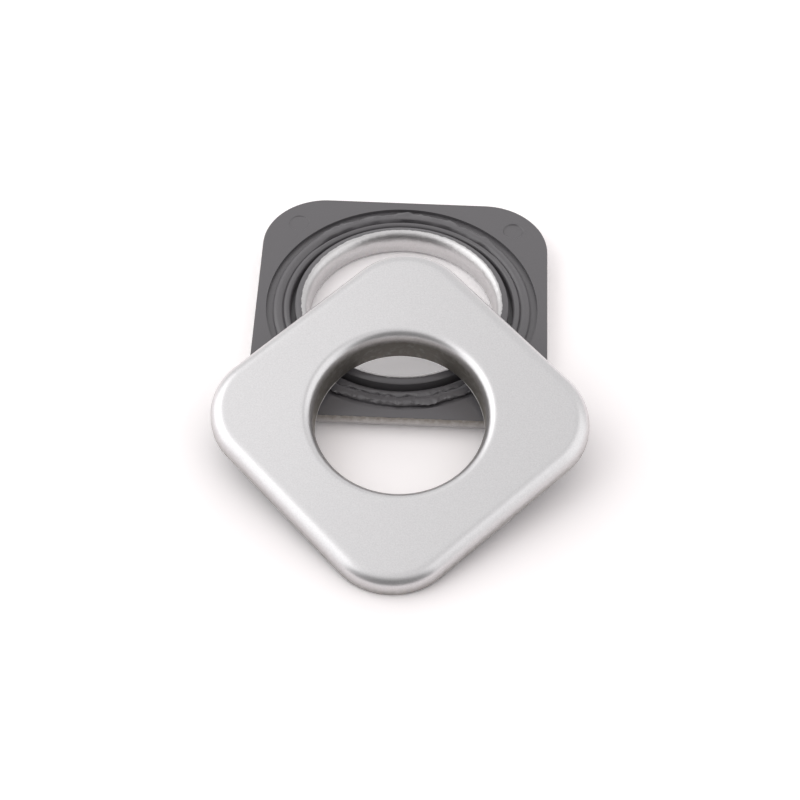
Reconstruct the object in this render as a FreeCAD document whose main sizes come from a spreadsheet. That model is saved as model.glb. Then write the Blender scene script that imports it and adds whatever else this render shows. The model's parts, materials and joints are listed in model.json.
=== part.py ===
import FreeCAD, Part
import math
import os
import Sketcher

# Two-part square curtain eyelet, shown apart: the back half lies show side down on the
# surface, and the front half leans on it with the end of its barrel on the near edge.
# Millimetres. The origin is on the surface, on the axis of the back half's bore.

SIZES = {
    # both halves
    "thickness": 4.75,
    "corner_radius": 15.85,
    "edge_roll": 3.4,
    "bore_radius": 20.0,
    "barrel_wall": 1.4,
    # front half: flared bore, barrel and snap ring
    "flare": 2.5,
    "barrel_reach": 4.7,
    "barrel_end_chamfer": 0.3,
    "relief_depth": 1.2,
    "snap_ring_wall": 0.9,
    "snap_ring_reach": 2.9,
    "gate_stub_width": 3.4,
    "gate_stub_depth": 0.5,
    "gate_stub_drop": 0.35,
    # back half, from the bore outwards: bead, groove for the snap ring, ridges, rim groove
    "barrel_clearance": 0.8,
    "bore_edge_round": 2.0,
    "bead_round": 2.4,
    "bead_rise": 1.45,
    "bead_outside": 1.5,
    "snap_clearance": 0.15,
    "snap_groove_depth": 2.6,
    "inner_ridge_width": 1.8,
    "outer_ridge_width": 2.5,
    "ridge_rise": 0.2,
    "grip_recess_depth": 0.45,
    "rim_groove_width": 1.7,
    "rim_groove_depth": 0.9,
    "rim_border": 2.45,
    # marks of the ejector pins, each as far in from two sides
    "ejector_mark_radius": 2.6,
    "ejector_mark_depth": 0.12,
    "ejector_mark_inset": 8.65,
    # where the front half leans
    "front_aside": 1.15,
    "front_past_edge": 4.43,
    "lean_heading": 1.69,
    "front_turn": 42.73,
    "front_roll": -1.04,
    "rest_gap": 0.05,
}

# Radii of the rings, each from the one inside it, and half the plate's side at the end.
CHAIN = {
    "throat": "bore_radius + barrel_wall + barrel_clearance",
    "bead_crest": "throat + bead_round",
    "groove_inside": "bead_crest + bead_outside",
    "ring_inside": "groove_inside + snap_clearance",
    "ring_outside": "ring_inside + snap_ring_wall",
    "groove_outside": "ring_outside + snap_clearance",
    "ridge_foot": "groove_outside + inner_ridge_width",
    "recess_edge": "ridge_foot + outer_ridge_width",
    "rim_edge": "recess_edge + rim_groove_width",
    "half_side": "rim_edge + rim_border",
}

doc = FreeCAD.newDocument("eyelet")
sheet = doc.addObject("Spreadsheet::Sheet", "sizes")
for row, (word, number) in enumerate(SIZES.items(), start=1):
    sheet.set("A%d" % row, word)
    sheet.set("B%d" % row, str(number))
    sheet.setAlias("B%d" % row, word)
for row, (word, formula) in enumerate(CHAIN.items(), start=len(SIZES) + 1):
    sheet.set("A%d" % row, word)
    sheet.set("B%d" % row, "=" + formula)
    sheet.setAlias("B%d" % row, word)
doc.recompute()


def size(expression):
    """The number that an expression over the sheet gives now."""
    return float(sheet.evalExpression(expression))


def origin_feature(body, role):
    """One of the body's own origin planes or axes."""
    return next(item for item in body.Origin.OriginFeatures if item.Role == role)


def sketch_on(body, role, name):
    """An empty sketch on one of the body's own origin planes."""
    sketch = body.newObject("Sketcher::SketchObject", name)
    sketch.AttachmentSupport = (origin_feature(body, role), [""])
    sketch.MapMode = "FlatFace"
    return sketch


def bind(sketch, kind, places, expression):
    """A dimension of the sketch that follows an expression over the sheet."""
    number = sketch.addConstraint(Sketcher.Constraint(kind, *places, size(expression)))
    sketch.setExpression("Constraints[%d]" % number, expression)


def draw_loop(sketch, points, bends=None):
    """Closed outline through points given as pairs of expressions.

    bends maps the number of a side to (radius expression, hand): that side is an arc whose
    centre lies to the left of the way along it for hand 1, and to the right for hand -1.
    """
    bends = bends or {}
    corners = [FreeCAD.Vector(size(across), size(up), 0) for across, up in points]
    sides = []
    for index, start in enumerate(corners):
        end = corners[(index + 1) % len(corners)]
        if index not in bends:
            sides.append((sketch.addGeometry(Part.LineSegment(start, end), False), 1, 2))
            continue
        radius_expression, hand = bends[index]
        radius = size(radius_expression)
        chord = end - start
        left = FreeCAD.Vector(-chord.y, chord.x, 0).normalize()
        reach = math.sqrt(max(radius**2 - (chord.Length / 2) ** 2, 0.0))
        centre = (start + end) / 2 + left * reach * hand
        first, last = (start, end) if hand > 0 else (end, start)
        angles = [math.atan2(p.y - centre.y, p.x - centre.x) for p in (first, last)]
        circle = Part.Circle(centre, FreeCAD.Vector(0, 0, 1), radius)
        arc = sketch.addGeometry(Part.ArcOfCircle(circle, *angles), False)
        sides.append((arc, 1, 2) if hand > 0 else (arc, 2, 1))
        bind(sketch, "Radius", (arc,), radius_expression)
    for index, (side, start_point, end_point) in enumerate(sides):
        after, after_start, _ = sides[(index + 1) % len(sides)]
        sketch.addConstraint(Sketcher.Constraint("Coincident", side, end_point, after, after_start))
        across, up = points[index]
        bind(sketch, "DistanceX", (-1, 1, side, start_point), across)
        bind(sketch, "DistanceY", (-1, 1, side, start_point), up)


def draw_circle(sketch, radius, across="0", up="0"):
    """Circle whose radius and centre are expressions."""
    centre = FreeCAD.Vector(size(across), size(up), 0)
    circle = Part.Circle(centre, FreeCAD.Vector(0, 0, 1), size(radius))
    number = sketch.addGeometry(circle, False)
    bind(sketch, "Radius", (number,), radius)
    bind(sketch, "DistanceX", (-1, 1, number, 3), across)
    bind(sketch, "DistanceY", (-1, 1, number, 3), up)


def turned(body, kind, name, points, bends=None):
    """Section turned once round the bore's axis: a Revolution adds, a Groove cuts."""
    sketch = sketch_on(body, "XZ_Plane", name + "_section")
    draw_loop(sketch, points, bends)
    before = body.Shape.Volume
    feature = body.newObject("PartDesign::" + kind, name)
    feature.Profile = sketch
    feature.ReferenceAxis = (sketch, ["V_Axis"])
    feature.Angle = 360
    doc.recompute()
    gained = body.Shape.Volume - before
    if (gained > 0) != (kind == "Revolution"):
        raise RuntimeError("%s changed the volume by %.3f" % (name, gained))
    return feature


def square_plate(body, name, thickness, hole):
    """Rounded square plate standing on the body's XY plane, with a round hole."""
    half = "sizes.half_side"
    flat = "(sizes.half_side - sizes.corner_radius)"
    points = [
        ("-" + flat, "-" + half),
        (flat, "-" + half),
        (half, "-" + flat),
        (half, flat),
        (flat, half),
        ("-" + flat, half),
        ("-" + half, flat),
        ("-" + half, "-" + flat),
    ]
    sketch = sketch_on(body, "XY_Plane", name + "_outline")
    corners = range(1, len(points), 2)
    draw_loop(sketch, points, {side: ("sizes.corner_radius", 1) for side in corners})
    draw_circle(sketch, hole)
    plate = body.newObject("PartDesign::Pad", name)
    plate.Profile = sketch
    plate.setExpression("Length", thickness)
    doc.recompute()
    return plate


def rolled_edge(body, plate, name, level, radius):
    """Rounds the plate's outer edge at one level."""
    height = size(level)
    edges = []
    for number, edge in enumerate(plate.Shape.Edges, start=1):
        at_level = all(abs(vertex.Z - height) < 1e-4 for vertex in edge.Vertexes)
        middle = edge.valueAt((edge.FirstParameter + edge.LastParameter) / 2)
        if at_level and math.hypot(middle.x, middle.y) > size("sizes.half_side") - 1e-4:
            edges.append("Edge%d" % number)
    roll = body.newObject("PartDesign::Fillet", name)
    roll.Base = (plate, edges)
    roll.setExpression("Radius", radius)
    doc.recompute()
    return roll


def make_front():
    """Front half: thin plate with a rolled edge, flared bore, barrel and snap ring."""
    body = doc.addObject("PartDesign::Body", "front_half")
    flare_edge = "sizes.bore_radius + sizes.flare"
    barrel_outside = "sizes.bore_radius + sizes.barrel_wall"
    face = "sizes.thickness"
    plate = square_plate(body, "front_plate", face, flare_edge)
    rolled_edge(body, plate, "front_edge", face, "sizes.edge_roll")

    # The bore's wall: it flares out to the face and runs on below the plate as the barrel.
    chamfer = "sizes.barrel_end_chamfer"
    barrel = [
        ("sizes.bore_radius", "-sizes.barrel_reach"),
        (barrel_outside + " - " + chamfer, "-sizes.barrel_reach"),
        (barrel_outside, "-sizes.barrel_reach + " + chamfer),
        (barrel_outside, "0"),
        (flare_edge, "0"),
        (flare_edge, face),
        ("sizes.bore_radius", face + " - sizes.flare"),
    ]
    turned(body, "Revolution", "barrel", barrel, {5: ("sizes.flare", -1)})

    # Relief between the barrel and the snap ring, which clears the back half's bead.
    relief = [
        (barrel_outside, "-sizes.relief_depth"),
        ("sizes.ring_inside", "-sizes.relief_depth"),
        ("sizes.ring_inside", "sizes.relief_depth"),
        (barrel_outside, "sizes.relief_depth"),
    ]
    turned(body, "Groove", "relief", relief)

    ring = [
        ("sizes.ring_inside", "-sizes.snap_ring_reach"),
        ("sizes.ring_inside + sizes.snap_ring_wall / 2", "-sizes.snap_ring_reach"),
        ("sizes.ring_outside", "-sizes.snap_ring_reach + sizes.snap_ring_wall / 2"),
        ("sizes.ring_outside", "0"),
        ("sizes.ring_inside", "0"),
    ]
    turned(body, "Revolution", "snap_ring", ring)

    # Two short stubs where the moulding was cut from its runner, in the middle of two sides.
    near = "-sizes.half_side"
    deep = "-sizes.half_side + sizes.gate_stub_depth"
    low = "-sizes.gate_stub_width / 2"
    high = "sizes.gate_stub_width / 2"
    stubs = {
        "left_stub": [(near, low), (deep, low), (deep, high), (near, high)],
        "right_stub": [(low, near), (high, near), (high, deep), (low, deep)],
    }
    for name, corners in stubs.items():
        sketch = sketch_on(body, "XY_Plane", name + "_outline")
        draw_loop(sketch, corners)
        stub = body.newObject("PartDesign::Pad", name)
        stub.Profile = sketch
        stub.setExpression("Length", "sizes.gate_stub_drop")
        stub.Reversed = True
        doc.recompute()
    return body


def make_back():
    """Back half: plate with a rolled edge, beaded bore, snap groove and grip ridges."""
    body = doc.addObject("PartDesign::Body", "back_half")
    top = "sizes.thickness"
    plate = square_plate(body, "back_plate", top, "sizes.groove_inside")
    rolled_edge(body, plate, "back_edge", "0", "sizes.edge_roll")

    # The bore's wall: a rounded edge at the show face, a short upright part and the bead,
    # which rounds over its crest and ends at the snap groove.
    bead_centre = "(sizes.thickness + sizes.bead_rise - sizes.bead_round)"
    bead_drop = "sqrt(sizes.bead_round ^ 2 - sizes.bead_outside ^ 2)"
    bore_wall = [
        ("sizes.throat + sizes.bore_edge_round", "0"),
        ("sizes.groove_inside", "0"),
        ("sizes.groove_inside", bead_centre + " + " + bead_drop),
        ("sizes.throat", bead_centre),
        ("sizes.throat", "sizes.bore_edge_round"),
    ]
    bends = {2: ("sizes.bead_round", 1), 4: ("sizes.bore_edge_round", -1)}
    turned(body, "Revolution", "bore_wall", bore_wall, bends)

    def ring_cut(name, inside, outside, depth):
        """Ring-shaped cut with upright walls, from well above the plate."""
        above = top + " + sizes.thickness"
        floor = top + " - " + depth
        cut = [(inside, floor), (outside, floor), (outside, above), (inside, above)]
        turned(body, "Groove", name, cut)

    ring_cut("snap_groove", "sizes.groove_inside", "sizes.groove_outside", "sizes.snap_groove_depth")
    ring_cut("grip_recess", "sizes.groove_outside", "sizes.recess_edge", "sizes.grip_recess_depth")
    ring_cut("rim_groove", "sizes.recess_edge", "sizes.rim_edge", "sizes.rim_groove_depth")

    # Two ridges with rounded tops, side by side in the recess, that bite the cloth.
    recess_floor = top + " - sizes.grip_recess_depth"
    height = "(sizes.ridge_rise + sizes.grip_recess_depth)"
    ridges = {
        "inner_ridge": ("sizes.groove_outside", "sizes.ridge_foot", "sizes.inner_ridge_width"),
        "outer_ridge": ("sizes.ridge_foot", "sizes.recess_edge", "sizes.outer_ridge_width"),
    }
    for name, (inside, outside, width) in ridges.items():
        arc_radius = "(%s ^ 2 / 8 / %s + %s / 2)" % (width, height, height)
        crest = ("%s + %s / 2" % (inside, width), top + " + sizes.ridge_rise")
        ridge = [(inside, recess_floor), (outside, recess_floor), crest]
        turned(body, "Revolution", name, ridge, {1: (arc_radius, 1), 2: (arc_radius, 1)})

    # Shallow round marks that the ejector pins leave near the corners.
    sketch = sketch_on(body, "XY_Plane", "ejector_mark_outline")
    sketch.setExpression("AttachmentOffset.Base.z", top)
    offset = "sizes.half_side - sizes.ejector_mark_inset"
    draw_circle(sketch, "sizes.ejector_mark_radius", offset, offset)
    doc.recompute()
    before = body.Shape.Volume
    mark = body.newObject("PartDesign::Pocket", "ejector_mark")
    mark.Profile = sketch
    mark.setExpression("Length", "sizes.ejector_mark_depth")
    doc.recompute()
    if body.Shape.Volume >= before:
        raise RuntimeError("the ejector mark cuts nothing")
    marks = body.newObject("PartDesign::PolarPattern", "ejector_marks")
    marks.Originals = [mark]
    marks.Axis = (origin_feature(body, "Z_Axis"), [""])
    marks.Angle = 360
    marks.Occurrences = 4
    body.Tip = marks
    doc.recompute()
    return body


def leaning_placement(front, back):
    """Placement that rests the front half on the surface and against the back half.

    Its lowest point is set on the surface at every lean, and the lean is halved in on the
    smallest one at which the halves don't overlap. The rest gap then lifts it off both.
    """
    up = FreeCAD.Vector(0, 0, 1)
    past_edge = size("sizes.half_side + sizes.front_past_edge")
    place = FreeCAD.Vector(size("sizes.front_aside"), -past_edge, 0)
    heading = FreeCAD.Rotation(up, size("sizes.lean_heading"))
    roll = FreeCAD.Rotation(FreeCAD.Vector(0, 1, 0), size("sizes.front_roll"))
    turn = FreeCAD.Rotation(up, size("sizes.front_turn"))
    reach = 8 * size("sizes.half_side")
    ground = Part.makePlane(2 * reach, 2 * reach, FreeCAD.Vector(-reach, -reach, -reach))

    def set_down(lean):
        tilt = FreeCAD.Rotation(FreeCAD.Vector(1, 0, 0), lean)
        front.Placement = FreeCAD.Placement(place, heading * tilt * roll * turn)
        height = front.distToShape(ground)[0] - reach
        front.Placement = FreeCAD.Placement(place - up * height, front.Placement.Rotation)

    shallow, steep = 0.0, 45.0
    for _ in range(16):
        lean = (shallow + steep) / 2
        set_down(lean)
        if front.common(back).Volume > 0:
            shallow = lean
        else:
            steep = lean
    set_down(steep)
    print("lean %.3f degrees" % steep)
    lifted = front.Placement.Base + up * size("sizes.rest_gap")
    return FreeCAD.Placement(lifted, front.Placement.Rotation)


back_half = make_back()
front_half = make_front()
front_half.Placement = leaning_placement(front_half.Shape.copy(), back_half.Shape)
doc.recompute()

for item in doc.Objects:
    if {"Invalid", "Error"} & set(item.State):
        raise RuntimeError("%s did not build: %s" % (item.Label, item.State))
halves = [back_half, front_half]
for half in halves:
    if half.Shape.isNull() or not half.Shape.isValid():
        raise RuntimeError("%s has no valid shape" % half.Label)

os.makedirs("parts", exist_ok=True)
for half in halves:
    half.Shape.exportStep("parts/%s.step" % half.Label)
    box = half.Shape.BoundBox
    print(half.Label, "%.1f mm3" % half.Shape.Volume, box)
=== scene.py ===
# %% [markdown]
# The part is a square curtain eyelet of two moulded halves. The frame brings both halves in at
# their real size and place, in metres, and everything made here stays inside that frame.

# %% Load the frame
import json
import math

import bmesh
import bpy
from mathutils import Matrix, Vector, noise


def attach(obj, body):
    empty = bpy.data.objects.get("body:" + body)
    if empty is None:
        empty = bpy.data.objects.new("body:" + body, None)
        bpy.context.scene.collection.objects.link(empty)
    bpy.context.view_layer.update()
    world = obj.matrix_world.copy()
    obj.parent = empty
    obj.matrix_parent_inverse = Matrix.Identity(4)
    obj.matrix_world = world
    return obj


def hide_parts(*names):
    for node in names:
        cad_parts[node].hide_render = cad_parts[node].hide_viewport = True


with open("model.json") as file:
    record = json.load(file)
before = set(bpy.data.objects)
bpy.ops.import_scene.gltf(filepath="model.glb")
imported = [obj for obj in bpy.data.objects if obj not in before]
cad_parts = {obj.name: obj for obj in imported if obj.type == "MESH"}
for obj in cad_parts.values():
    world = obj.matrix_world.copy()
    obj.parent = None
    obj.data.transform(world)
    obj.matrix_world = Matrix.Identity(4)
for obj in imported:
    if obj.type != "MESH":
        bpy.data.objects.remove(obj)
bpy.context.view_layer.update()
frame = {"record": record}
MM = 0.001

# %% [markdown]
# The camera stands where the photographer stood: about 50 degrees above the surface, half a
# metre away, with a long lens, so the far half hardly shrinks. A long lens keeps the squares
# square. The camera is turned a little about its own axis, as a hand-held one is.

# %% Camera
LOOK_AT = Vector((0.753, -26.247, 0.0)) * MM
ELEVATION = math.radians(49.864)
HEADING = math.radians(1.694)
CAMERA_ROLL = math.radians(1.0)
DISTANCE = 530.549 * MM
FOCAL_PIXELS = 2215.192
IMAGE_PIXELS = 800
SENSOR_MM = 36.0

camera_data = bpy.data.cameras.new("camera")
camera_data.sensor_width = SENSOR_MM
camera_data.lens = FOCAL_PIXELS / IMAGE_PIXELS * SENSOR_MM
camera = bpy.data.objects.new("camera", camera_data)
bpy.context.scene.collection.objects.link(camera)
turn = Matrix.Rotation(HEADING, 4, "Z") @ Matrix.Rotation(math.pi / 2 - ELEVATION, 4, "X")
turn = turn @ Matrix.Rotation(CAMERA_ROLL, 4, "Z")
eye = Vector((0.0, -math.cos(ELEVATION), math.sin(ELEVATION))) * DISTANCE
eye = LOOK_AT + Matrix.Rotation(HEADING, 3, "Z") @ eye
camera.matrix_world = Matrix.Translation(eye) @ turn
bpy.context.scene.camera = camera
print("lens %.1f mm at %.0f mm" % (camera_data.lens, DISTANCE / MM))

# %% [markdown]
# Shader maths reads best as a formula. A small class wraps a node socket, so that adding or
# multiplying two of them makes the Math node behind it.

# %% Shader formulas


class Wire:
    """A shader value that can be used in a formula."""

    def __init__(self, tree, socket):
        self.tree = tree
        self.socket = socket

    def math(self, operation, *others, clamp=False):
        node = self.tree.nodes.new("ShaderNodeMath")
        node.operation = operation
        node.use_clamp = clamp
        for place, value in enumerate((self,) + others):
            if isinstance(value, Wire):
                self.tree.links.new(value.socket, node.inputs[place])
            else:
                node.inputs[place].default_value = value
        return Wire(self.tree, node.outputs[0])

    def __add__(self, other):
        return self.math("ADD", other)

    __radd__ = __add__

    def __sub__(self, other):
        return self.math("SUBTRACT", other)

    def __rsub__(self, other):
        return self.math("MULTIPLY_ADD", -1.0, other)

    def __mul__(self, other):
        return self.math("MULTIPLY", other)

    __rmul__ = __mul__

    def clamped(self):
        return self.math("ADD", 0.0, clamp=True)


# %% [markdown]
# Every other node is added by one method. It takes the node's type, its settings and what goes
# into its sockets, which is either a plain value or a wire from another node. The same method
# serves the materials and, later, the room.

# %% Shader nodes


class NodeTree:
    """A node tree, and the one way to add a node to it."""

    def __init__(self, tree):
        self.tree = tree
        tree.nodes.clear()

    def node(self, kind, settings=None, inputs=None, output=0):
        made = self.tree.nodes.new("ShaderNode" + kind)
        for name, value in (settings or {}).items():
            setattr(made, name, value)
        for name, value in (inputs or {}).items():
            if isinstance(value, Wire):
                self.tree.links.new(value.socket, made.inputs[name])
            else:
                made.inputs[name].default_value = value
        return Wire(self.tree, made.outputs[output]) if len(made.outputs) else None


class Finish(NodeTree):
    """A material made of nodes."""

    def __init__(self, name):
        self.material = bpy.data.materials.new(name)
        self.material.use_nodes = True
        super().__init__(self.material.node_tree)

    def noise(self, place, scale, detail=2.0):
        inputs = {"Vector": place, "Scale": scale, "Detail": detail}
        return self.node("TexNoise", inputs=inputs)

    def surface(self, shader):
        self.node("OutputMaterial", inputs={"Surface": shader})
        print(self.material.name, "has", len(self.tree.nodes), "nodes")
        return self.material


# %% [markdown]
# The mouldings are dark grey plastic with a faint skin texture. It shows on the flanges and in
# the grooves. A noise drives a very low bump, and a slow one makes the gloss a little uneven,
# as on any moulding that has been handled.

# %% Grey plastic
PLASTIC_GREY = (0.112, 0.11, 0.116, 1.0)
SKIN_SCALE = 1500.0
PLASTIC_RELIEF = 0.0001


def grey_plastic(finish, place, cloud):
    """Plain satin plastic."""
    skin = finish.noise(place, SKIN_SCALE, 4.0)
    relief = {"Strength": 0.25, "Distance": PLASTIC_RELIEF, "Height": skin}
    look = {
        "Base Color": PLASTIC_GREY,
        "Specular IOR Level": 0.65,
        "Roughness": cloud * 0.1 + 0.28,
        "Normal": finish.node("Bump", inputs=relief),
    }
    return finish.node("BsdfPrincipled", inputs=look)


print("plastic grey:", PLASTIC_GREY[:3])

# %% [markdown]
# The show sides are sprayed satin silver. The paint is a metallic one: it mirrors the room
# softly and has a very fine grain. Deep in the bores and on the rims the spray arrived nearly
# dried, so it is rougher there. These places are also painted darker and browner: partly for
# the half-dried spray, and partly as painted shade for the shadowed floor and dark plastic
# that they mirror. A number on each vertex says how much of both they get. On the back half
# the paint is also coarser, which the patches add to the bump.

# %% Silver paint
DRY_SPRAY_AND_SHADE = "dry_spray_and_shade"
SILVER_LOW = (0.615, 0.605, 0.612, 1.0)
SILVER_HIGH = (0.695, 0.685, 0.692, 1.0)
# Darker, browner silver: partly half-dried spray, partly painted shade for mirrored shadow.
DRY_AND_SHADED_SILVER = (0.3, 0.28, 0.255, 1.0)
GRAIN_SCALE = 3200.0
GRAIN_CONTRAST = 2.4
PATCH_SCALE = 700.0
PAINT_RELIEF = 0.00008
PAINT_ROUGHNESS = 0.285
DRY_ROUGHNESS = 0.25


def silver_paint(finish, place, cloud, coarseness):
    """Fine-grained satin silver; drier spray and painted shade make patches rougher and darker.
    """
    grain = finish.noise(place, GRAIN_SCALE, 3.0)
    patch = finish.noise(place, PATCH_SCALE, 3.0)
    dry_and_shade = finish.node("Attribute", {"attribute_name": DRY_SPRAY_AND_SHADE}, output="Fac")
    # This share darkens the silver: partly drier spray, partly painted shade.
    dryness_and_shade = (dry_and_shade * (patch * 1.2 + 0.4)).clamped()
    flakes = ((grain - 0.5) * GRAIN_CONTRAST + 0.5).clamped()
    wet_mix = {"Fac": flakes, "Color1": SILVER_LOW, "Color2": SILVER_HIGH}
    wet = finish.node("MixRGB", inputs=wet_mix)
    colour_mix = {"Fac": dryness_and_shade, "Color1": wet, "Color2": DRY_AND_SHADED_SILVER}
    height = grain + patch * coarseness
    relief = {"Strength": 0.2, "Distance": PAINT_RELIEF, "Height": height}
    look = {
        "Base Color": finish.node("MixRGB", inputs=colour_mix),
        "Metallic": 0.97,
        "Roughness": cloud * 0.05 + PAINT_ROUGHNESS + dryness_and_shade * DRY_ROUGHNESS,
        "Normal": finish.node("Bump", inputs=relief),
    }
    return finish.node("BsdfPrincipled", inputs=look)


print("silver from", SILVER_LOW[:3], "to", SILVER_HIGH[:3])

# %% [markdown]
# Each half is one moulding, so paint and plastic are one material. Where the paint stops, it
# stops raggedly. Each vertex therefore carries its distance from the paint's limit, and the
# shader adds noise to that distance before it chooses between the two finishes.

# %% Paint over plastic
PAINT_LIMIT = "paint_limit"
EDGE_SCALE = 900.0
EDGE_SHARPNESS = 8.0
CLOUD_SCALE = 60.0


def painted_plastic(name, ragged, coarseness):
    """Grey plastic, with silver paint where the distance from its limit is above zero."""
    finish = Finish(name)
    place = finish.node("TexCoord", output="Object")
    cloud = finish.noise(place, CLOUD_SCALE)
    limit = finish.node("Attribute", {"attribute_name": PAINT_LIMIT}, output="Fac")
    wander = (finish.noise(place, EDGE_SCALE, 3.0) - 0.5) * ragged
    mask = ((limit + wander) * EDGE_SHARPNESS + 0.5).clamped()
    plastic = grey_plastic(finish, place, cloud)
    paint = silver_paint(finish, place, cloud, coarseness)
    return finish.surface(finish.node("MixShader", inputs={0: mask, 1: plastic, 2: paint}))


back_finish = painted_plastic("back_finish", ragged=0.6, coarseness=5.0)
front_finish = painted_plastic("front_finish", ragged=0.25, coarseness=0.0)

# %% [markdown]
# A turned shape, such as the bore with its bead, is drawn once as half a section. Most of a
# section is straight lines and arcs. Sizes are in millimetres here, because they are the sizes
# of the moulding, and long runs are divided, so that every vertex can carry its own paint.

# %% Sections
SIDE = 71.5
CORNER_RADIUS = 15.85
THICKNESS = 4.75


def arc(across, up, radius, start, end, steps):
    """Points on a round stretch of a section, from one angle to another in degrees."""
    angles = [math.radians(start + (end - start) * step / steps) for step in range(steps + 1)]
    return [(across + radius * math.cos(a), up + radius * math.sin(a)) for a in angles]


def stretch(points, longest):
    """The same section with its long straight runs divided."""
    fine = [points[0]]
    for start, end in zip(points, points[1:]):
        pieces = max(1, math.ceil(math.dist(start, end) / longest))
        for step in range(1, pieces + 1):
            share = step / pieces
            fine.append(tuple(a + (b - a) * share for a, b in zip(start, end)))
    return fine


def walked_along(points):
    """How far each point lies along the section from its first point."""
    walked = [0.0]
    for start, end in zip(points, points[1:]):
        walked.append(walked[-1] + math.dist(start, end))
    return walked


print("plate %.1f mm wide, %.2f mm thick" % (SIDE, THICKNESS))

# %% [markdown]
# A section becomes a solid ring when it is spun once round the axis. The spin repeats the
# vertex numbers for the paint as well, so they are set on the section first. The flat faces
# between a ring and its plate are filled with triangles afterwards.

# %% Spinning and filling


def clamp(value):
    return max(0.0, min(1.0, value))


def paint_layers(mesh):
    """Two numbers per vertex: distance from the paint's limit, and drier spray with painted
    shade.
    """
    return [mesh.verts.layers.float.new(name) for name in (PAINT_LIMIT, DRY_SPRAY_AND_SHADE)]


def spin_section(mesh, layers, section, paint_of, steps):
    """Spins a section, given as (radius, height), once round the Z axis."""
    verts = [mesh.verts.new((radius, 0.0, height)) for radius, height in section]
    for vert, (distance, dry_and_shade) in zip(verts, paint_of(section)):
        vert[layers[0]], vert[layers[1]] = distance, dry_and_shade
    edges = [mesh.edges.new(pair) for pair in zip(verts, verts[1:])]
    known = set(mesh.verts) - set(verts)
    bmesh.ops.spin(
        mesh,
        geom=verts + edges,
        cent=(0, 0, 0),
        axis=(0, 0, 1),
        angle=2 * math.pi,
        steps=steps,
        use_merge=True,
    )
    print("ring of %d points, spun in %d steps" % (len(section), steps))
    return [vert for vert in mesh.verts if vert not in known]


def fill_flat(mesh, height):
    """Fills the flat face between all the open edges that lie at one height."""
    edges = [e for e in mesh.edges if not e.link_faces or e.is_boundary]
    edges = [e for e in edges if all(abs(v.co.z - height) < 1e-5 for v in e.verts)]
    bmesh.ops.triangle_fill(mesh, use_beauty=True, edges=edges)


# %% [markdown]
# A plate's edge has a small break at the flange, an upright part, and a wide roll down to the
# show face. A narrow flat border at either end keeps the shading of the flat faces flat.

# %% Edge of a plate
EDGE_ROLL = 3.4
EDGE_BREAK = 0.12
FLAT_BORDER = 0.3
ROLL_STEPS = 12


def edge_profile():
    """The plate's edge as (drawn in, distance from the flange), beginning on the flange."""
    profile = [(EDGE_BREAK + FLAT_BORDER, 0.0), (EDGE_BREAK, 0.0), (0.0, EDGE_BREAK)]
    upright = THICKNESS - EDGE_ROLL
    for step in range(ROLL_STEPS + 1):
        turned = math.radians(90.0 * step / ROLL_STEPS)
        inward = EDGE_ROLL * (1 - math.cos(turned))
        profile.append((inward, upright + EDGE_ROLL * math.sin(turned)))
    return profile + [(EDGE_ROLL + FLAT_BORDER, THICKNESS)]


print("edge of the plate: %d points" % len(edge_profile()))

# %% [markdown]
# Each plate starts as a square whose corners are rounded by a bevel. Its outline is then
# extruded round the edge, one point of the profile at a time, and drawn in towards the middle
# a little more at each step. The rim is the last place that the spray reached, so it is drier
# and rougher, and it is painted darker there as painted shade.

# %% Rounded plate
CORE = SIDE / 2 - CORNER_RADIUS
CORNER_STEPS = 28
SIDE_CUTS = 60
DRY_AND_SHADED_RIM_WIDTH = 3.5


def drawn_in(point, inward, height):
    """The place of an outline point when the outline is drawn in by some millimetres."""
    across = max(-CORE, min(CORE, point.x))
    along = max(-CORE, min(CORE, point.y))
    core = Vector((across, along, 0.0))
    outward = Vector((point.x - core.x, point.y - core.y, 0.0)).normalized()
    return core + outward * (CORNER_RADIUS - inward) + Vector((0.0, 0.0, height))


def rounded_outline(mesh):
    """The square outline with its rounded corners, as open edges."""
    bmesh.ops.create_grid(mesh, x_segments=1, y_segments=1, size=SIDE / 2)
    bmesh.ops.bevel(
        mesh,
        geom=mesh.verts[:],
        offset=CORNER_RADIUS,
        offset_type="OFFSET",
        segments=CORNER_STEPS,
        profile=0.5,
        affect="VERTICES",
        material=-1,
    )
    sides = [e for e in mesh.edges if e.calc_length() > CORNER_RADIUS / 2]
    bmesh.ops.subdivide_edges(mesh, edges=sides, cuts=SIDE_CUTS)
    bmesh.ops.delete(mesh, geom=mesh.faces[:], context="FACES_ONLY")
    return mesh.edges[:]


def plate(mesh, layers, flange, facing, dry_and_shaded_rim):
    """Plate from its grey flange at one height to the rolled show face, facing up or down."""
    rim = rounded_outline(mesh)
    steps = edge_profile()
    walked = -EDGE_BREAK - FLAT_BORDER
    for vert in mesh.verts:
        vert.co = drawn_in(vert.co, steps[0][0], flange)
        vert[layers[0]] = walked
    for before, after in zip(steps, steps[1:]):
        walked += math.dist(before, after)
        out = bmesh.ops.extrude_edge_only(mesh, edges=rim)
        rim = [g for g in out["geom"] if isinstance(g, bmesh.types.BMEdge)]
        for vert in {v for e in rim for v in e.verts}:
            vert.co = drawn_in(vert.co, after[0], flange + after[1] * facing)
            vert[layers[0]] = walked
            # Drier spray and painted shade on the rim, strongest by the flange and fading to the
            # show face.
            vert[layers[1]] = dry_and_shaded_rim * max(0.0, 1.0 - walked / DRY_AND_SHADED_RIM_WIDTH)


# %% [markdown]
# A finished half is a closed mesh. Its faces are shaded smooth, apart from the edges that are
# sharp on the moulding. It rides on the part's only body and hides the CAD node that it
# stands for.

# %% Finishing a half
SHARP_ANGLE = math.radians(32)


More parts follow.
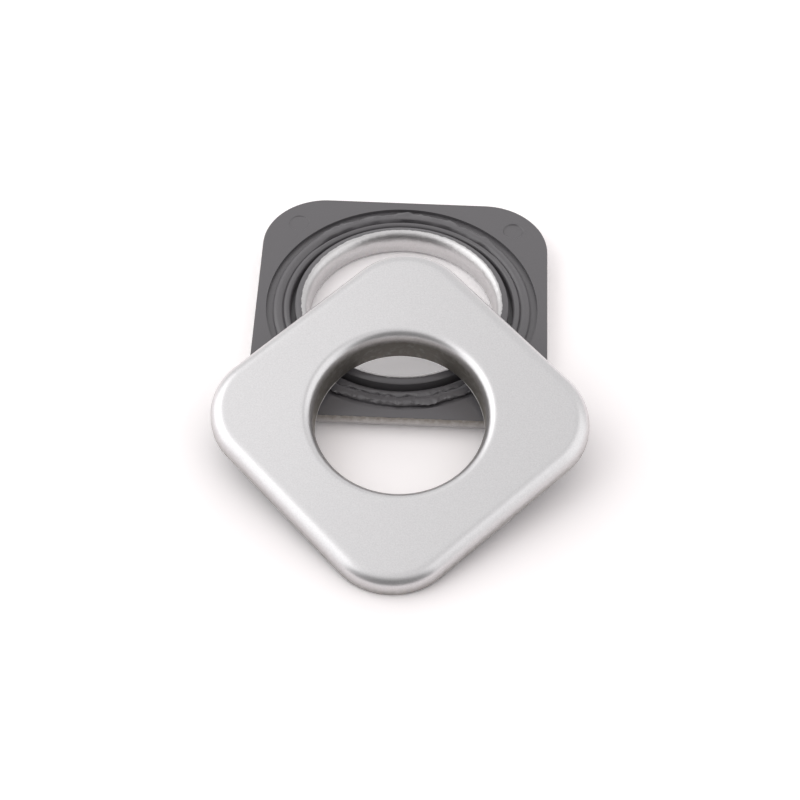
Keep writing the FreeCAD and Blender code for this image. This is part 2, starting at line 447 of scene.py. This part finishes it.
def finish_half(mesh, name, node, finish, place):
    """Marks the sharp edges of a half, and sets it in place of its CAD node."""
    bmesh.ops.recalc_face_normals(mesh, faces=mesh.faces)
    for face in mesh.faces:
        face.smooth = True
    for edge in mesh.edges:
        if len(edge.link_faces) == 2 and edge.calc_face_angle() > SHARP_ANGLE:
            edge.smooth = False
    bmesh.ops.transform(mesh, matrix=place @ Matrix.Scale(MM, 4), verts=mesh.verts)
    data = bpy.data.meshes.new(name)
    mesh.to_mesh(data)
    open_edges = sum(1 for e in mesh.edges if len(e.link_faces) != 2)
    print("%s: %d faces, %d open edges" % (name, len(mesh.faces), open_edges))
    mesh.free()
    data.materials.append(finish)
    half = bpy.data.objects.new(name, data)
    bpy.context.scene.collection.objects.link(half)
    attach(half, "root")
    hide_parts(node)


# %% [markdown]
# The back half lies on its show face. From the flange inwards come a thin groove, two ridges
# that bite the cloth, the deep groove for the snap ring, and the bead round the bore. The
# ridges are arcs that stand in a shallow recess.

# %% Rings of the back half
GROOVE_RADIUS = 26.7
GROOVE_HALF = 0.6
GROOVE_DEPTH = 2.6
RECESS_DEPTH = 0.45
RECESS_FLOOR = THICKNESS - RECESS_DEPTH
INNER_RIDGE_WIDTH = 1.8
OUTER_RIDGE_WIDTH = 2.5
RIDGE_RISE = 0.2
RIM_GROOVE_WIDTH = 1.7
RIM_GROOVE_DEPTH = 0.9
RECESS_EDGE = GROOVE_RADIUS + GROOVE_HALF + INNER_RIDGE_WIDTH + OUTER_RIDGE_WIDTH


def ridge(start, width):
    """A round-topped ridge that stands in the recess, from its outer foot to its inner foot."""
    rise = THICKNESS + RIDGE_RISE - RECESS_FLOOR
    radius = width**2 / 8 / rise + rise / 2
    half_angle = math.degrees(math.asin(min(width / 2 / radius, 1.0)))
    top = RECESS_FLOOR + rise - radius
    return arc(start - width / 2, top, radius, 90 - half_angle, 90 + half_angle, 14)


def ring_section():
    """Half section from the flange over both ridges to the floor of the snap groove."""
    rim_edge = RECESS_EDGE + RIM_GROOVE_WIDTH
    points = [(rim_edge + 0.4, THICKNESS), (rim_edge, THICKNESS)]
    points += [(rim_edge, THICKNESS - RIM_GROOVE_DEPTH)]
    points += [(RECESS_EDGE, THICKNESS - RIM_GROOVE_DEPTH)]
    points += ridge(RECESS_EDGE, OUTER_RIDGE_WIDTH)
    points += ridge(RECESS_EDGE - OUTER_RIDGE_WIDTH, INNER_RIDGE_WIDTH)[1:]
    points += [(GROOVE_RADIUS + GROOVE_HALF, THICKNESS - GROOVE_DEPTH)]
    points += [(GROOVE_RADIUS - GROOVE_HALF, THICKNESS - GROOVE_DEPTH)]
    return points


print("rings from %.1f to %.1f mm" % (ring_section()[-1][0], ring_section()[0][0]))

# %% [markdown]
# The bead stands highest. Outside it is a round arc, and inside it runs down the bore as a
# tall oval, because the photograph's reflections are long and upright there. Below, the edge
# of the bore is a small round. The CAD solid has a hollow there, so this mesh makes the round.

# %% Bead and bore of the back half
THROAT = 22.5
BORE_EDGE_ROUND = 1.0
BEAD_RISE = 1.45
BEAD_ROUND = 2.1
BEAD_OUTSIDE = 1.5
INNER_HEIGHT = 3.9
SHOW_FACE_START = 25.0


def bead_section():
    """Half section from the foot of the bead over its crest and down the bore."""
    top = THICKNESS + BEAD_RISE
    middle = THROAT + BEAD_ROUND
    foot_angle = math.degrees(math.acos(BEAD_OUTSIDE / BEAD_ROUND))
    points = arc(middle, top - BEAD_ROUND, BEAD_ROUND, foot_angle, 90, 12)
    stretched = INNER_HEIGHT / BEAD_ROUND
    for across, up in arc(middle, 0.0, BEAD_ROUND, 90, 180, 28)[1:]:
        points.append((across, top - INNER_HEIGHT + up * stretched))
    edge = THROAT + BORE_EDGE_ROUND
    points += arc(edge, BORE_EDGE_ROUND, BORE_EDGE_ROUND, 180, 270, 16)
    return points + [(SHOW_FACE_START, 0.0)]


def back_paint(section):
    """Distance from the paint's stop on the bead's crest, and drier spray with painted shade."""
    top = max(range(len(section)), key=lambda i: section[i][1])
    walked = walked_along(section)
    # A light share of drier spray and painted shade over the bead and down the bore.
    dry_and_shade = [0.15 if height > 0.5 else 0.0 for _, height in section]
    return [(distance - walked[top], share) for distance, share in zip(walked, dry_and_shade)]


back_section = stretch(ring_section() + bead_section(), 0.8)
print("back section: %d points" % len(back_section))

# %% [markdown]
# At the far and the near side the ridges are torn, as soft plastic is when it is pulled from
# its mould. Noise moves their vertices. The near ridges have short ragged teeth, and at the
# far side the valley between them wanders in long waves and is deeper.

# %% Torn ridges
TORN_FROM = 0.6
TORN_FADE = 0.25
OUTER_TEAR = (31.3, 0.8)
INNER_TEAR = (29.1, 0.7)
FAR_WAVES = 18.0
NEAR_WAVES = 31.0
VALLEY_DEPTH = 0.8


def closeness(radius, tear):
    """One at the middle of a tear, and zero past its half width."""
    middle, half_width = tear
    return max(0.0, 1.0 - abs(radius - middle) / half_width)


def torn_ridges(verts):
    """Roughens both ridges at the far and the near side."""
    for vert in verts:
        radius = math.hypot(vert.co.x, vert.co.y)
        outward = Vector((vert.co.x, vert.co.y, 0.0)).normalized()
        share = clamp((abs(outward.y) - TORN_FROM) / TORN_FADE)
        outer, inner = closeness(radius, OUTER_TEAR), closeness(radius, INNER_TEAR)
        if share * (outer + inner) == 0.0 or vert.co.z < RECESS_FLOOR - 0.3:
            continue
        far = outward.y > 0.0
        along = outward * (FAR_WAVES if far else NEAR_WAVES)
        wave = noise.noise(along / 3.2)
        wave += 0.4 * noise.noise(along / 0.9 + Vector((7.0, 0.0, radius)))
        lift = abs(noise.noise(along / 1.1 + Vector((0.0, 3.0, radius / 1.5))))
        inner_lift = -VALLEY_DEPTH if far else 0.8 * lift
        vert.co += outward * share * (outer * (wave + 0.25) + inner * 0.8 * wave)
        vert.co.z += share * (outer * 0.9 * lift + inner * inner_lift)


torn_angle = math.degrees(math.asin(TORN_FROM))
print("ridges are torn from %.0f degrees past the two sides" % torn_angle)

# %% [markdown]
# Ejector pins push the moulding out of its mould, and leave a shallow round mark near each
# corner. A circle is extruded into the flange a little narrower, and closed. One mark is
# deeper than the others.

# %% Ejector marks
MARK_OFFSET = 27.1
MARK_RADIUS = 2.6
MARK_DEPTHS = (0.3, 0.14, 0.12, 0.12)
WELL_INSIDE = -2.0


def ejector_mark(mesh, layers, heading, depth):
    """A shallow round mark on the flange, in the direction of one corner."""
    centre = Vector((math.cos(heading), math.sin(heading), 0.0)) * MARK_OFFSET * math.sqrt(2)
    centre.z = THICKNESS
    known = set(mesh.verts)
    place = Matrix.Translation(centre)
    bmesh.ops.create_circle(mesh, segments=48, radius=MARK_RADIUS, matrix=place)
    ring = [e for e in mesh.edges if all(v not in known for v in e.verts)]
    out = bmesh.ops.extrude_edge_only(mesh, edges=ring)
    floor_ring = [g for g in out["geom"] if isinstance(g, bmesh.types.BMEdge)]
    sunk = list({v for e in floor_ring for v in e.verts})
    bmesh.ops.translate(mesh, verts=sunk, vec=(0.0, 0.0, -depth))
    narrower = (MARK_RADIUS - depth) / MARK_RADIUS
    size = (narrower, narrower, 1.0)
    bmesh.ops.scale(mesh, verts=sunk, vec=size, space=place.inverted())
    bmesh.ops.contextual_create(mesh, geom=floor_ring)
    for vert in mesh.verts:
        if vert not in known:
            vert[layers[0]] = WELL_INSIDE


print("ejector marks %.1f mm wide" % (2 * MARK_RADIUS))

# %% [markdown]
# Now the back half is put together: the plate, the spun rings with their tears, the marks,
# and the flat faces between them. It lies at the origin, so it isn't moved.

# %% Back half
mesh = bmesh.new()
layers = paint_layers(mesh)
# Strong painted shade on this rim, for the shadowed floor it mirrors under the front half.
plate(mesh, layers, THICKNESS, -1, dry_and_shaded_rim=1.1)
torn_ridges(spin_section(mesh, layers, back_section, back_paint, 480))
for corner, depth in enumerate(MARK_DEPTHS):
    ejector_mark(mesh, layers, math.radians(45 + 90 * corner), depth)
for height in (THICKNESS, 0.0):
    fill_flat(mesh, height)
finish_half(mesh, "back_moulding", "back_half", back_finish, Matrix.Identity(4))

# %% [markdown]
# The front half's bore opens to its face in a convex round, a little deeper than wide. It is
# made here, because the CAD solid has a hollow in its place. Below the plate come the
# barrel, which goes through the cloth and the back half, the relief, and the snap ring. The
# spray came from above, so it gets drier down the bore and stops at the barrel's end. The bore
# is also painted darker downwards, as a painted reflection of the grey plastic and shadowed
# floor below it.

# %% Section of the front half
BORE_RADIUS = 20.0
FLARE = 2.6
FLARE_DEPTH = 3.3
BARREL_REACH = 4.7
BARREL_WALL = 1.4
END_CHAMFER = 0.3
END_BREAK = 0.1
RELIEF_DEPTH = 1.2
RING_HALF = 0.45
RING_REACH = 2.9
DRY_AND_SHADE_BELOW = 0.9
DRY_AND_SHADE_RUN = 2.4


def front_outline():
    """Half section of the front half, from its face down the barrel and out to the flange."""
    outside = BORE_RADIUS + BARREL_WALL
    edge = BORE_RADIUS + FLARE
    points = [(edge + 0.6, THICKNESS)]
    for across, up in arc(edge, 0.0, FLARE, 90, 180, 24):
        points.append((across, THICKNESS - FLARE_DEPTH + up * FLARE_DEPTH / FLARE))
    points += [(BORE_RADIUS, -BARREL_REACH + END_BREAK)]
    points += [(BORE_RADIUS + END_BREAK, -BARREL_REACH)]
    points += [(outside - END_CHAMFER, -BARREL_REACH), (outside, -BARREL_REACH + END_CHAMFER)]
    points += [(outside, RELIEF_DEPTH), (GROOVE_RADIUS - RING_HALF, RELIEF_DEPTH)]
    points += [(GROOVE_RADIUS - RING_HALF, -RING_REACH), (GROOVE_RADIUS, -RING_REACH)]
    points += [(GROOVE_RADIUS + RING_HALF, -RING_REACH + RING_HALF)]
    points += [(GROOVE_RADIUS + RING_HALF, 0.0), (GROOVE_RADIUS + RING_HALF + 0.8, 0.0)]
    return points


def front_paint(section):
    """Paint over face and bore to the barrel's end, drier and with painted shade lower down."""
    low = next(i for i, point in enumerate(section) if point[1] <= -BARREL_REACH + 1e-6)
    walked = walked_along(section)
    # Drier spray and painted shade, growing down the bore from just below the face.
    dry_and_shade = [clamp((THICKNESS - DRY_AND_SHADE_BELOW - height) / DRY_AND_SHADE_RUN) for _, height in section]
    return [(walked[low] - distance, share) for distance, share in zip(walked, dry_and_shade)]


front_section = stretch(front_outline(), 1.2)
print("front section: %d points" % len(front_section))

# %% [markdown]
# The front half is tilted: it rests on its lowest corner, on the end of its barrel and on the
# near edge of the back half. The record's mount for its bore gives the place and the axis.
# That mount lies in the middle of the straight wall that the bore has in the CAD.

# %% Place of the front half
LEAN = math.radians(11.628)
LEAN_HEADING = math.radians(1.69)
FRONT_TURN = math.radians(42.73)
FRONT_ROLL = math.radians(-1.04)
FLARE_IN_CAD = 2.5

bore = next(m for m in frame["record"]["mounts"] if m["name"] == "front_bore")
axis = Vector(bore["axis"]).normalized()
rotation = Matrix.Rotation(LEAN_HEADING, 4, "Z") @ Matrix.Rotation(LEAN, 4, "X")
rotation = rotation @ Matrix.Rotation(FRONT_ROLL, 4, "Y")
rotation = rotation @ Matrix.Rotation(FRONT_TURN, 4, "Z")
middle_of_wall = (THICKNESS - FLARE_IN_CAD - BARREL_REACH) / 2 * MM
place = Matrix.Translation(Vector(bore["pos_m"]) - axis * middle_of_wall) @ rotation
print("axis off by %.4f degrees" % math.degrees(axis.angle(rotation @ Vector((0, 0, 1)))))

# %% [markdown]
# Two small marks of its making: a fine lip inside the barrel's end, which the mould's parting
# left at the two sides, and two short stubs in the middle of two edges, where the moulding was
# cut from its runner.

# %% Lip and stubs
LIP = 0.2
STUB_SIZE = Vector((0.5, 3.4, 0.65))
STUB_DROP = 0.35
STUB_INSET = 0.02
STUB_HEADINGS = (math.pi, -math.pi / 2)


def barrel_lip(verts, layers):
    """Draws the inner edge of the barrel's end inwards at its two sides."""
    for vert in verts:
        radius = math.hypot(vert.co.x, vert.co.y)
        if vert.co.z < END_BREAK - BARREL_REACH and radius < BORE_RADIUS + LIP:
            outward = Vector((vert.co.x, vert.co.y, 0.0)).normalized()
            sideways = (Matrix.Rotation(FRONT_TURN, 3, "Z") @ outward).x
            share = clamp((abs(sideways) - 0.5) / 0.3)
            vert.co -= outward * LIP * share
            # At the sides the lip is left out of the bore's painted shade, so it shows clean
            # silver.
            vert[layers[1]] = 1.0 - share


def gate_stub(mesh, layers, heading):
    """Short stub in the middle of a side, where the moulding was cut from its runner."""
    known = set(mesh.verts)
    bmesh.ops.create_cube(mesh, size=1.0)
    stub = [vert for vert in mesh.verts if vert not in known]
    bmesh.ops.scale(mesh, verts=stub, vec=STUB_SIZE)
    outwards = SIDE / 2 - STUB_SIZE.x / 2 - STUB_INSET
    middle = Vector((outwards, 0.0, STUB_SIZE.z / 2 - STUB_DROP))
    bmesh.ops.translate(mesh, verts=stub, vec=middle)
    turned = Matrix.Rotation(heading, 3, "Z")
    bmesh.ops.rotate(mesh, verts=stub, cent=(0, 0, 0), matrix=turned)
    for vert in stub:
        vert[layers[0]] = 1.0


print("stubs of", [round(size, 2) for size in STUB_SIZE], "mm")

# %% [markdown]
# The front half is put together like the back half, but its show face is up, and in the end
# it is tilted to where the CAD's solver found it at rest.

# %% Front half
mesh = bmesh.new()
layers = paint_layers(mesh)
# Lighter painted shade on this rim, for the shadowed floor it mirrors below its edge.
plate(mesh, layers, 0.0, 1, dry_and_shaded_rim=0.7)
barrel_lip(spin_section(mesh, layers, front_section, front_paint, 320), layers)
for height in (THICKNESS, 0.0):
    fill_flat(mesh, height)
for heading in STUB_HEADINGS:
    gate_stub(mesh, layers, heading)
finish_half(mesh, "front_moulding", "front_half", front_finish, place)

# %% [markdown]
# The photograph was taken on a white table. The floor keeps a soft shadow, and to the camera
# and in reflections it is white. For all other rays it is a duller white, so that it doesn't
# throw too much light back up.

# %% Floor
FLOOR_SIZE = 3.0
DULL_WHITE = (0.8, 0.8, 0.8, 1.0)
CLEAR_WHITE = (1.12, 1.12, 1.12, 1.0)

mesh = bmesh.new()
bmesh.ops.create_grid(mesh, x_segments=1, y_segments=1, size=FLOOR_SIZE)
floor_data = bpy.data.meshes.new("floor")
mesh.to_mesh(floor_data)
mesh.free()
floor = bpy.data.objects.new("floor", floor_data)
bpy.context.scene.collection.objects.link(floor)

floor_finish = Finish("floor_finish")
seen = floor_finish.node("LightPath", output="Is Camera Ray")
glossy = floor_finish.node("LightPath", output="Is Glossy Ray")
dull = floor_finish.node("BsdfDiffuse", inputs={"Color": DULL_WHITE})
clear = floor_finish.node("BsdfDiffuse", inputs={"Color": CLEAR_WHITE})
mixed = {0: (seen + glossy).clamped(), 1: dull, 2: clear}
floor_look = floor_finish.surface(floor_finish.node("MixShader", inputs=mixed))
floor.data.materials.append(floor_look)

# %% [markdown]
# The light is that of a photographer's table: a large soft lamp at the left, a weaker one at
# the right, a small one above, and one behind that fills the shadow in the back half's bore.
# The one behind is kept out of reflections, where it would draw bright lines along the edges.

# %% Lamps
AIM = Vector((0.0, -0.02, 0.0))


def soft_lamp(name, place, width, height, power):
    """A rectangular lamp that looks at the middle of the part."""
    data = bpy.data.lights.new(name, "AREA")
    data.shape = "RECTANGLE"
    data.size = width
    data.size_y = height
    data.energy = power
    lamp = bpy.data.objects.new(name, data)
    lamp.location = place
    lamp.rotation_mode = "QUATERNION"
    lamp.rotation_quaternion = (AIM - Vector(place)).to_track_quat("-Z", "Y")
    bpy.context.scene.collection.objects.link(lamp)
    print("%s lamp: %.2f W" % (name, power))
    return lamp


soft_lamp("left", (-0.8, 0.0, 0.5), 1.3, 1.1, 3.5)
soft_lamp("right", (0.75, -0.1, 0.45), 1.0, 1.0, 1.25)
soft_lamp("top", (-0.3, 0.1, 0.45), 0.52, 0.6, 0.31)
back_lamp = soft_lamp("back", (0.05, 0.85, 0.42), 1.3, 0.6, 2.6)
back_lamp.visible_glossy = False

# %% [markdown]
# The room is white to the camera. In reflections it is pale, apart from a dark part where the
# photographer stands, which gives the round edges their soft dark line. As a light it is
# brightest overhead and dimmer from the photographer's side, so the shadows have a direction.

# %% Room
ROOM_TINT = (0.95, 0.89, 0.895, 1.0)
BLACK = (0.0, 0.0, 0.0, 1.0)
WHITE = (1.0, 1.0, 1.0, 1.0)

world = bpy.data.worlds.new("room")
bpy.context.scene.world = world
world.use_nodes = True
room = NodeTree(world.node_tree)


def along(direction, axis):
    """How much a direction agrees with an axis, from -1 to 1."""
    both = {0: direction, 1: axis}
    return room.node("VectorMath", {"operation": "DOT_PRODUCT"}, both, output="Value")


def fade(value, start, end, low, high):
    """A level that goes from low to high while the value goes from start to end."""
    return room.node("MapRange", inputs=dict(enumerate((value, start, end, low, high))))


def mix(share, first, second):
    return room.node("MixRGB", inputs={"Fac": share, "Color1": first, "Color2": second})


direction = room.node("TexCoord", output="Generated")
forwards = along(direction, (0.0, 1.0, 0.0))
upwards = along(direction, (0.0, 0.0, 1.0))
mirrored = fade(forwards, -0.75, -0.44, 0.27, 0.91)
level = fade(upwards, 0.0, 1.0, 0.42, 1.0) * fade(forwards, -0.8, 0.0, 0.55, 1.0)
light = mix(level, BLACK, ROOM_TINT)
shown = mix(room.node("LightPath", output="Is Glossy Ray"), light, mirrored)
shown = mix(room.node("LightPath", output="Is Camera Ray"), shown, WHITE)
background = room.node("Background", inputs={"Color": shown, "Strength": 1.0})
room.node("OutputWorld", inputs={"Surface": background})
bpy.context.scene.view_settings.view_transform = "Standard"
print("the room has", len(room.tree.nodes), "nodes")
